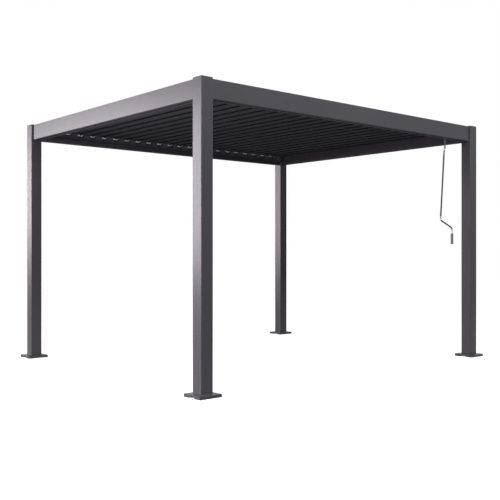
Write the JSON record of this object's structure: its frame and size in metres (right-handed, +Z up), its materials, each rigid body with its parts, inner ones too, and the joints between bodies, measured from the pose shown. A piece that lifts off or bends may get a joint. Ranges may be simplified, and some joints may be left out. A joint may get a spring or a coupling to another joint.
{
  "type": "louvred-roof pergola",
  "caption": "Free-standing aluminium pergola: square posts with foot covers, box beams with gutters, tilting roof louvres tied by a link bar, and a hanging crank.",
  "frame": {"origin": "floor level at the middle of the plan", "axes": "+X along the long side, +Y from the side with the crank to the back, +Z up"},
  "size_m": [3.696, 3.096, 2.4],
  "materials": {
    "frame_coat": "anthracite powder coat, fine satin texture",
    "louvre_coat": "anthracite powder coat, matt texture",
    "plated_steel": "bright zinc plate",
    "base_steel": "galvanised",
    "link_steel": "mill finish",
    "gear_housing": "cast, black coated",
    "crank_coat": "grey powder coat",
    "grip_plastic": "moulded, satin"
  },
  "bodies": {
    "frame": {"front_left_post": "frame_coat", "front_right_post": "frame_coat", "back_left_post": "frame_coat", "back_right_post": "frame_coat", "base_plates": "base_steel", "foot_covers": "frame_coat", "post_caps": "frame_coat", "front_beam": "frame_coat", "back_beam": "frame_coat", "left_beam": "frame_coat", "right_beam": "frame_coat", "gutters": "frame_coat", "front_pivot_brackets": "gear_housing", "back_pivot_brackets": "gear_housing", "end_strips": "frame_coat", "gearbox": "gear_housing"},
    "crank_eye": {"crank_eye": "crank_coat"},
    "crank": {"crank_rod": "crank_coat", "crank_ferrule": "plated_steel", "crank_arm": "gear_housing", "crank_grip": "grip_plastic"},
    "louvre_01": {"louvre_01": "louvre_coat"},
    "louvre_02": {"louvre_02": "louvre_coat"},
    "louvre_03": {"louvre_03": "louvre_coat"},
    "louvre_04": {"louvre_04": "louvre_coat"},
    "louvre_05": {"louvre_05": "louvre_coat"},
    "louvre_06": {"louvre_06": "louvre_coat"},
    "louvre_07": {"louvre_07": "louvre_coat"},
    "louvre_08": {"louvre_08": "louvre_coat"},
    "louvre_09": {"louvre_09": "louvre_coat"},
    "louvre_10": {"louvre_10": "louvre_coat"},
    "louvre_11": {"louvre_11": "louvre_coat"},
    "louvre_12": {"louvre_12": "louvre_coat"},
    "louvre_13": {"louvre_13": "louvre_coat"},
    "louvre_14": {"louvre_14": "louvre_coat"},
    "louvre_15": {"louvre_15": "louvre_coat"},
    "louvre_16": {"louvre_16": "louvre_coat"},
    "louvre_17": {"louvre_17": "louvre_coat"},
    "louvre_18": {"louvre_18": "louvre_coat"},
    "louvre_19": {"louvre_19": "louvre_coat"},
    "louvre_20": {"louvre_20": "louvre_coat"},
    "louvre_21": {"louvre_21": "louvre_coat"},
    "louvre_22": {"louvre_22": "louvre_coat"},
    "louvre_23": {"louvre_23": "louvre_coat"},
    "link_bar": {"link_bar": "link_steel"}
  },
  "joints": [
    {"name": "crank_turn", "type": "hinge", "parent": "frame", "child": "crank_eye", "pos_m": [1.32048, -1.4455, 2.155], "axis": [0, 0, 1], "range_deg": [0, 1440]},
    {"name": "crank_swing", "type": "hinge", "parent": "crank_eye", "child": "crank", "pos_m": [1.32048, -1.4455, 2.1523], "axis": [0.342, 0.9397, 0], "range_deg": [-25, 25]},
    {"name": "louvre_01_tilt", "type": "hinge", "parent": "frame", "child": "louvre_01", "pos_m": [-1.637, 0, 2.367], "axis": [0, -1, 0], "range_deg": [0, 90]},
    {"name": "louvre_02_tilt", "type": "hinge", "parent": "frame", "child": "louvre_02", "pos_m": [-1.49083, 0, 2.367], "axis": [0, -1, 0], "range_deg": [0, 90]},
    {"name": "louvre_03_tilt", "type": "hinge", "parent": "frame", "child": "louvre_03", "pos_m": [-1.34465, 0, 2.367], "axis": [0, -1, 0], "range_deg": [0, 90]},
    {"name": "louvre_04_tilt", "type": "hinge", "parent": "frame", "child": "louvre_04", "pos_m": [-1.19848, 0, 2.367], "axis": [0, -1, 0], "range_deg": [0, 90]},
    {"name": "louvre_05_tilt", "type": "hinge", "parent": "frame", "child": "louvre_05", "pos_m": [-1.0523, 0, 2.367], "axis": [0, -1, 0], "range_deg": [0, 90]},
    {"name": "louvre_06_tilt", "type": "hinge", "parent": "frame", "child": "louvre_06", "pos_m": [-0.90613, 0, 2.367], "axis": [0, -1, 0], "range_deg": [0, 90]},
    {"name": "louvre_07_tilt", "type": "hinge", "parent": "frame", "child": "louvre_07", "pos_m": [-0.75996, 0, 2.367], "axis": [0, -1, 0], "range_deg": [0, 90]},
    {"name": "louvre_08_tilt", "type": "hinge", "parent": "frame", "child": "louvre_08", "pos_m": [-0.61378, 0, 2.367], "axis": [0, -1, 0], "range_deg": [0, 90]},
    {"name": "louvre_09_tilt", "type": "hinge", "parent": "frame", "child": "louvre_09", "pos_m": [-0.46761, 0, 2.367], "axis": [0, -1, 0], "range_deg": [0, 90]},
    {"name": "louvre_10_tilt", "type": "hinge", "parent": "frame", "child": "louvre_10", "pos_m": [-0.32144, 0, 2.367], "axis": [0, -1, 0], "range_deg": [0, 90]},
    {"name": "louvre_11_tilt", "type": "hinge", "parent": "frame", "child": "louvre_11", "pos_m": [-0.17526, 0, 2.367], "axis": [0, -1, 0], "range_deg": [0, 90]},
    {"name": "louvre_12_tilt", "type": "hinge", "parent": "frame", "child": "louvre_12", "pos_m": [-0.02909, 0, 2.367], "axis": [0, -1, 0], "range_deg": [0, 90]},
    {"name": "louvre_13_tilt", "type": "hinge", "parent": "frame", "child": "louvre_13", "pos_m": [0.11709, 0, 2.367], "axis": [0, -1, 0], "range_deg": [0, 90]},
    {"name": "louvre_14_tilt", "type": "hinge", "parent": "frame", "child": "louvre_14", "pos_m": [0.26326, 0, 2.367], "axis": [0, -1, 0], "range_deg": [0, 90]},
    {"name": "louvre_15_tilt", "type": "hinge", "parent": "frame", "child": "louvre_15", "pos_m": [0.40943, 0, 2.367], "axis": [0, -1, 0], "range_deg": [0, 90]},
    {"name": "louvre_16_tilt", "type": "hinge", "parent": "frame", "child": "louvre_16", "pos_m": [0.55561, 0, 2.367], "axis": [0, -1, 0], "range_deg": [0, 90]},
    {"name": "louvre_17_tilt", "type": "hinge", "parent": "frame", "child": "louvre_17", "pos_m": [0.70178, 0, 2.367], "axis": [0, -1, 0], "range_deg": [0, 90]},
    {"name": "louvre_18_tilt", "type": "hinge", "parent": "frame", "child": "louvre_18", "pos_m": [0.84796, 0, 2.367], "axis": [0, -1, 0], "range_deg": [0, 90]},
    {"name": "louvre_19_tilt", "type": "hinge", "parent": "frame", "child": "louvre_19", "pos_m": [0.99413, 0, 2.367], "axis": [0, -1, 0], "range_deg": [0, 90]},
    {"name": "louvre_20_tilt", "type": "hinge", "parent": "frame", "child": "louvre_20", "pos_m": [1.1403, 0, 2.367], "axis": [0, -1, 0], "range_deg": [0, 90]},
    {"name": "louvre_21_tilt", "type": "hinge", "parent": "frame", "child": "louvre_21", "pos_m": [1.28648, 0, 2.367], "axis": [0, -1, 0], "range_deg": [0, 90]},
    {"name": "louvre_22_tilt", "type": "hinge", "parent": "frame", "child": "louvre_22", "pos_m": [1.43265, 0, 2.367], "axis": [0, -1, 0], "range_deg": [0, 90]},
    {"name": "louvre_23_tilt", "type": "hinge", "parent": "frame", "child": "louvre_23", "pos_m": [1.57883, 0, 2.367], "axis": [0, -1, 0], "range_deg": [0, 90]},
    {"name": "link_bar_pivot", "type": "hinge", "parent": "louvre_12", "child": "link_bar", "pos_m": [-0.0503, -1.426, 2.34579], "axis": [0, -1, 0], "range_deg": [-90, 0]}
  ],
  "couplings": [
    {"joint": "louvre_01_tilt", "follows": "crank_turn", "ratio": 0.0625},
    {"joint": "louvre_02_tilt", "follows": "crank_turn", "ratio": 0.0625},
    {"joint": "louvre_03_tilt", "follows": "crank_turn", "ratio": 0.0625},
    {"joint": "louvre_04_tilt", "follows": "crank_turn", "ratio": 0.0625},
    {"joint": "louvre_05_tilt", "follows": "crank_turn", "ratio": 0.0625},
    {"joint": "louvre_06_tilt", "follows": "crank_turn", "ratio": 0.0625},
    {"joint": "louvre_07_tilt", "follows": "crank_turn", "ratio": 0.0625},
    {"joint": "louvre_08_tilt", "follows": "crank_turn", "ratio": 0.0625},
    {"joint": "louvre_09_tilt", "follows": "crank_turn", "ratio": 0.0625},
    {"joint": "louvre_10_tilt", "follows": "crank_turn", "ratio": 0.0625},
    {"joint": "louvre_11_tilt", "follows": "crank_turn", "ratio": 0.0625},
    {"joint": "louvre_12_tilt", "follows": "crank_turn", "ratio": 0.0625},
    {"joint": "louvre_13_tilt", "follows": "crank_turn", "ratio": 0.0625},
    {"joint": "louvre_14_tilt", "follows": "crank_turn", "ratio": 0.0625},
    {"joint": "louvre_15_tilt", "follows": "crank_turn", "ratio": 0.0625},
    {"joint": "louvre_16_tilt", "follows": "crank_turn", "ratio": 0.0625},
    {"joint": "louvre_17_tilt", "follows": "crank_turn", "ratio": 0.0625},
    {"joint": "louvre_18_tilt", "follows": "crank_turn", "ratio": 0.0625},
    {"joint": "louvre_19_tilt", "follows": "crank_turn", "ratio": 0.0625},
    {"joint": "louvre_20_tilt", "follows": "crank_turn", "ratio": 0.0625},
    {"joint": "louvre_21_tilt", "follows": "crank_turn", "ratio": 0.0625},
    {"joint": "louvre_22_tilt", "follows": "crank_turn", "ratio": 0.0625},
    {"joint": "louvre_23_tilt", "follows": "crank_turn", "ratio": 0.0625},
    {"joint": "link_bar_pivot", "follows": "crank_turn", "ratio": -0.0625}
  ]
}
